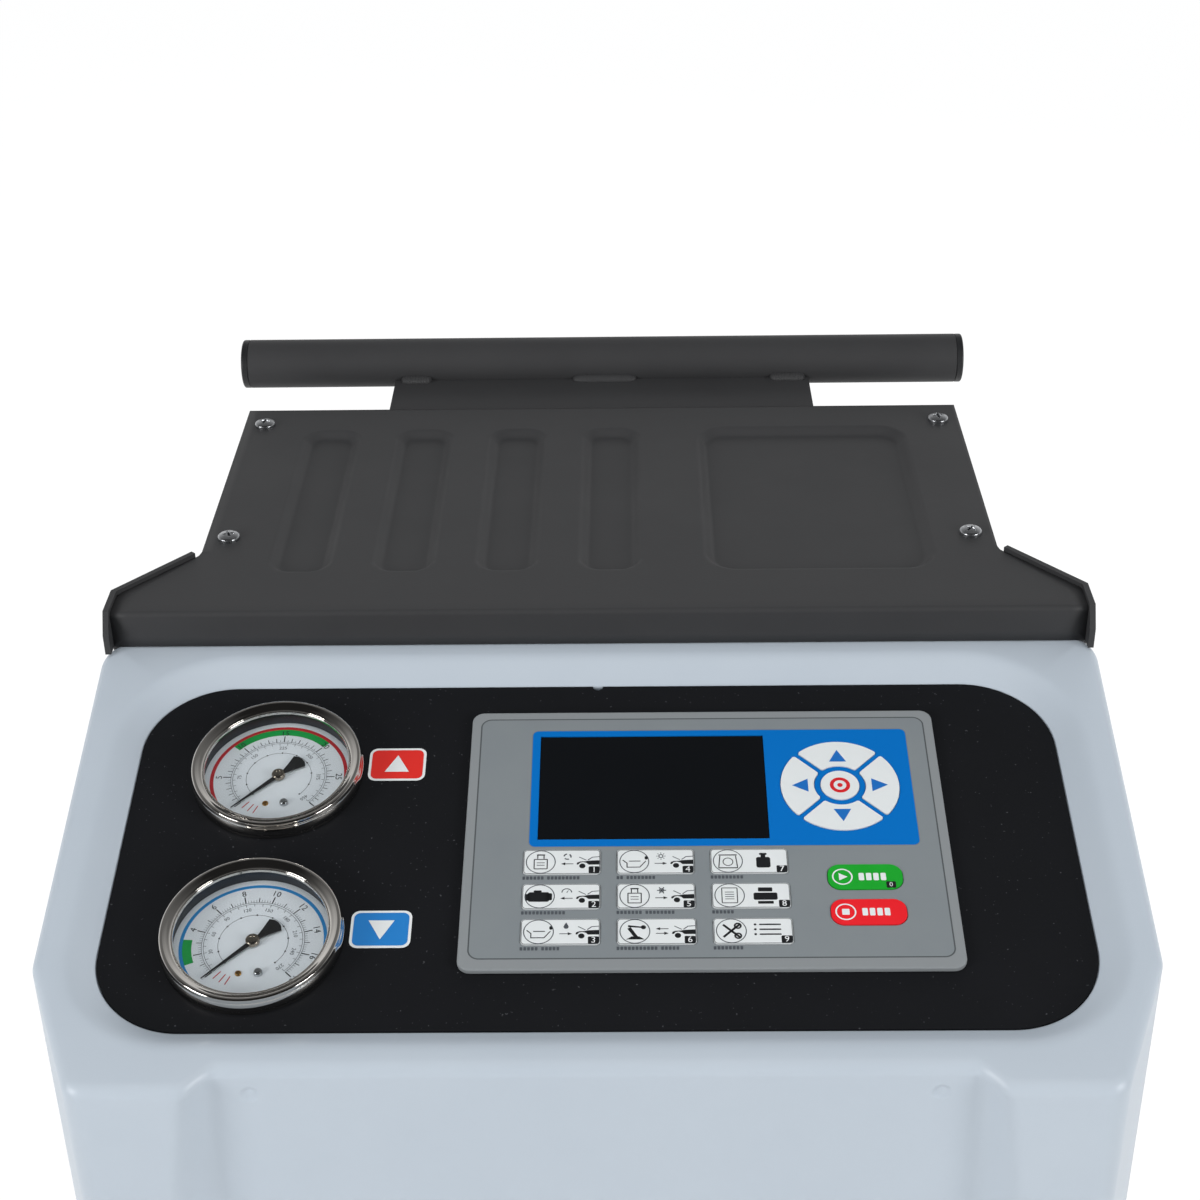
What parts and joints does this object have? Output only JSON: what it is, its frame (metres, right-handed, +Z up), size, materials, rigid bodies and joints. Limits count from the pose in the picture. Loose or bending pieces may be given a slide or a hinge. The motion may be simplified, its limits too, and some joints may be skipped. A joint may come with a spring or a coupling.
{
  "type": "air conditioning recharge station",
  "caption": "Wheeled workshop station that recovers and charges vehicle air conditioning: sloping gauge and keypad panel, tool tray and tube handle.",
  "frame": {"origin": "on the floor under the middle of the station's outline", "axes": "+Z up, the sloping panel and the front cover face -Y, +X to the right seen from the front"},
  "size_m": [0.5114, 0.578, 0.989],
  "materials": {
    "cover_plastic": "satin gloss light blue grey moulding",
    "black_powder_coat": "fine satin powder coat",
    "panel_black": "satin black",
    "keypad_grey": "matt printed overlay",
    "key_white": "printed key",
    "key_green": "printed key",
    "key_red": "printed key",
    "display_black": "clear dark window",
    "circuit_board": "solder mask",
    "gauge_case": "black case",
    "bezel_chrome": "polished",
    "gauge_glass": "clear",
    "dial_white": "printed dial",
    "pointer_black": "matt black",
    "bright_screws": "zinc plated",
    "cap_black": "moulded",
    "zinc_steel": "zinc plated sheet",
    "wheel_rubber": "moulded",
    "caster_rubber": "grey rubber",
    "tank_paint": "painted",
    "pump_paint": "painted",
    "bare_aluminium": "machined",
    "fan_plastic": "moulded",
    "coupling_brass": "turned",
    "switch_plastic": "moulded"
  },
  "bodies": {
    "cabinet": {"front_cover": "cover_plastic", "instrument_panel": "panel_black", "keypad_panel": "keypad_grey", "display_window": "display_black", "controller_board": "circuit_board", "high_side_gauge_case": "gauge_case", "high_side_gauge_bezel": "bezel_chrome", "high_side_gauge_glass": "gauge_glass", "high_side_gauge_dial": "dial_white", "low_side_gauge_case": "gauge_case", "low_side_gauge_bezel": "bezel_chrome", "low_side_gauge_glass": "gauge_glass", "low_side_gauge_dial": "dial_white", "left_side_panel": "black_powder_coat", "right_side_panel": "black_powder_coat", "top_tray": "black_powder_coat", "tray_screws": "bright_screws", "tray_handle": "black_powder_coat", "handle_end_caps": "cap_black", "rear_panel": "black_powder_coat", "service_couplings": "coupling_brass", "power_inlet": "switch_plastic", "base_chassis": "black_powder_coat", "rear_axle": "zinc_steel", "axle_caps": "cap_black", "caster_plates": "zinc_steel", "equipment_plate": "zinc_steel", "tank_scale": "bare_aluminium", "refrigerant_tank": "tank_paint", "compressor": "pump_paint", "vacuum_pump": "pump_paint", "filter_drier": "tank_paint", "valve_block": "bare_aluminium", "condenser": "bare_aluminium"},
    "function_key_1": {"function_key_1": "key_white"},
    "function_key_2": {"function_key_2": "key_white"},
    "function_key_3": {"function_key_3": "key_white"},
    "function_key_4": {"function_key_4": "key_white"},
    "function_key_5": {"function_key_5": "key_white"},
    "function_key_6": {"function_key_6": "key_white"},
    "function_key_7": {"function_key_7": "key_white"},
    "function_key_8": {"function_key_8": "key_white"},
    "function_key_9": {"function_key_9": "key_white"},
    "start_key": {"start_key": "key_green"},
    "stop_key": {"stop_key": "key_red"},
    "arrow_key_up": {"arrow_key_up": "key_white"},
    "arrow_key_down": {"arrow_key_down": "key_white"},
    "arrow_key_left": {"arrow_key_left": "key_white"},
    "arrow_key_right": {"arrow_key_right": "key_white"},
    "enter_key": {"enter_key": "key_white"},
    "high_side_gauge_pointer": {"high_side_gauge_pointer": "pointer_black"},
    "low_side_gauge_pointer": {"low_side_gauge_pointer": "pointer_black"},
    "left_rear_wheel": {"left_rear_wheel": "wheel_rubber"},
    "right_rear_wheel": {"right_rear_wheel": "wheel_rubber"},
    "left_caster_fork": {"left_caster_fork": "zinc_steel"},
    "right_caster_fork": {"right_caster_fork": "zinc_steel"},
    "left_caster_wheel": {"left_caster_wheel": "caster_rubber"},
    "right_caster_wheel": {"right_caster_wheel": "caster_rubber"},
    "fan_rotor": {"fan_rotor": "fan_plastic"},
    "rocker_switch": {"rocker_switch": "switch_plastic"}
  },
  "joints": [
    {"name": "function_key_1_press", "type": "slide", "parent": "cabinet", "child": "function_key_1", "axis": [0, 0.2079, -0.9781], "range_m": [0, 0.0005], "stiffness_N_per_m": 800, "springref_m": -0.0006},
    {"name": "function_key_2_press", "type": "slide", "parent": "cabinet", "child": "function_key_2", "axis": [0, 0.2079, -0.9781], "range_m": [0, 0.0005], "stiffness_N_per_m": 800, "springref_m": -0.0006},
    {"name": "function_key_3_press", "type": "slide", "parent": "cabinet", "child": "function_key_3", "axis": [0, 0.2079, -0.9781], "range_m": [0, 0.0005], "stiffness_N_per_m": 800, "springref_m": -0.0006},
    {"name": "function_key_4_press", "type": "slide", "parent": "cabinet", "child": "function_key_4", "axis": [0, 0.2079, -0.9781], "range_m": [0, 0.0005], "stiffness_N_per_m": 800, "springref_m": -0.0006},
    {"name": "function_key_5_press", "type": "slide", "parent": "cabinet", "child": "function_key_5", "axis": [0, 0.2079, -0.9781], "range_m": [0, 0.0005], "stiffness_N_per_m": 800, "springref_m": -0.0006},
    {"name": "function_key_6_press", "type": "slide", "parent": "cabinet", "child": "function_key_6", "axis": [0, 0.2079, -0.9781], "range_m": [0, 0.0005], "stiffness_N_per_m": 800, "springref_m": -0.0006},
    {"name": "function_key_7_press", "type": "slide", "parent": "cabinet", "child": "function_key_7", "axis": [0, 0.2079, -0.9781], "range_m": [0, 0.0005], "stiffness_N_per_m": 800, "springref_m": -0.0006},
    {"name": "function_key_8_press", "type": "slide", "parent": "cabinet", "child": "function_key_8", "axis": [0, 0.2079, -0.9781], "range_m": [0, 0.0005], "stiffness_N_per_m": 800, "springref_m": -0.0006},
    {"name": "function_key_9_press", "type": "slide", "parent": "cabinet", "child": "function_key_9", "axis": [0, 0.2079, -0.9781], "range_m": [0, 0.0005], "stiffness_N_per_m": 800, "springref_m": -0.0006},
    {"name": "start_key_press", "type": "slide", "parent": "cabinet", "child": "start_key", "axis": [0, 0.2079, -0.9781], "range_m": [0, 0.0005], "stiffness_N_per_m": 800, "springref_m": -0.0006},
    {"name": "stop_key_press", "type": "slide", "parent": "cabinet", "child": "stop_key", "axis": [0, 0.2079, -0.9781], "range_m": [0, 0.0005], "stiffness_N_per_m": 800, "springref_m": -0.0006},
    {"name": "arrow_key_up_press", "type": "slide", "parent": "cabinet", "child": "arrow_key_up", "axis": [0, 0.2079, -0.9781], "range_m": [0, 0.0005], "stiffness_N_per_m": 800, "springref_m": -0.0006},
    {"name": "arrow_key_down_press", "type": "slide", "parent": "cabinet", "child": "arrow_key_down", "axis": [0, 0.2079, -0.9781], "range_m": [0, 0.0005], "stiffness_N_per_m": 800, "springref_m": -0.0006},
    {"name": "arrow_key_left_press", "type": "slide", "parent": "cabinet", "child": "arrow_key_left", "axis": [0, 0.2079, -0.9781], "range_m": [0, 0.0005], "stiffness_N_per_m": 800, "springref_m": -0.0006},
    {"name": "arrow_key_right_press", "type": "slide", "parent": "cabinet", "child": "arrow_key_right", "axis": [0, 0.2079, -0.9781], "range_m": [0, 0.0005], "stiffness_N_per_m": 800, "springref_m": -0.0006},
    {"name": "enter_key_press", "type": "slide", "parent": "cabinet", "child": "enter_key", "axis": [0, 0.2079, -0.9781], "range_m": [0, 0.0005], "stiffness_N_per_m": 800, "springref_m": -0.0006},
    {"name": "high_side_gauge_pointer_turn", "type": "hinge", "parent": "cabinet", "child": "high_side_gauge_pointer", "pos_m": [-0.1566, -0.10192, 0.92402], "axis": [0, 0.2079, -0.9781], "range_deg": [0, 270], "stiffness_Nm_per_rad": 0.0002, "springref_deg": -22.92},
    {"name": "low_side_gauge_pointer_turn", "type": "hinge", "parent": "cabinet", "child": "low_side_gauge_pointer", "pos_m": [-0.1566, -0.20189, 0.90277], "axis": [0, 0.2079, -0.9781], "range_deg": [0, 270], "stiffness_Nm_per_rad": 0.0002, "springref_deg": -22.92},
    {"name": "left_rear_wheel_roll", "type": "hinge", "parent": "cabinet", "child": "left_rear_wheel", "pos_m": [-0.2345, 0.155, 0.1], "axis": [1, 0, 0], "continuous": true},
    {"name": "right_rear_wheel_roll", "type": "hinge", "parent": "cabinet", "child": "right_rear_wheel", "pos_m": [0.2345, 0.155, 0.1], "axis": [1, 0, 0], "continuous": true},
    {"name": "left_caster_fork_swivel", "type": "hinge", "parent": "cabinet", "child": "left_caster_fork", "pos_m": [-0.165, -0.2, 0.11], "axis": [0, 0, 1], "continuous": true},
    {"name": "right_caster_fork_swivel", "type": "hinge", "parent": "cabinet", "child": "right_caster_fork", "pos_m": [0.165, -0.2, 0.11], "axis": [0, 0, 1], "continuous": true},
    {"name": "left_caster_wheel_roll", "type": "hinge", "parent": "left_caster_fork", "child": "left_caster_wheel", "pos_m": [-0.165, -0.168, 0.05], "axis": [1, 0, 0], "continuous": true},
    {"name": "right_caster_wheel_roll", "type": "hinge", "parent": "right_caster_fork", "child": "right_caster_wheel", "pos_m": [0.165, -0.168, 0.05], "axis": [1, 0, 0], "continuous": true},
    {"name": "fan_rotor_spin", "type": "hinge", "parent": "cabinet", "child": "fan_rotor", "pos_m": [0.07, 0.097, 0.76], "axis": [0, 1, 0], "continuous": true},
    {"name": "rocker_switch_tilt", "type": "hinge", "parent": "cabinet", "child": "rocker_switch", "pos_m": [0.14, 0.213, 0.223], "axis": [1, 0, 0], "range_deg": [-24, 0]}
  ]
}
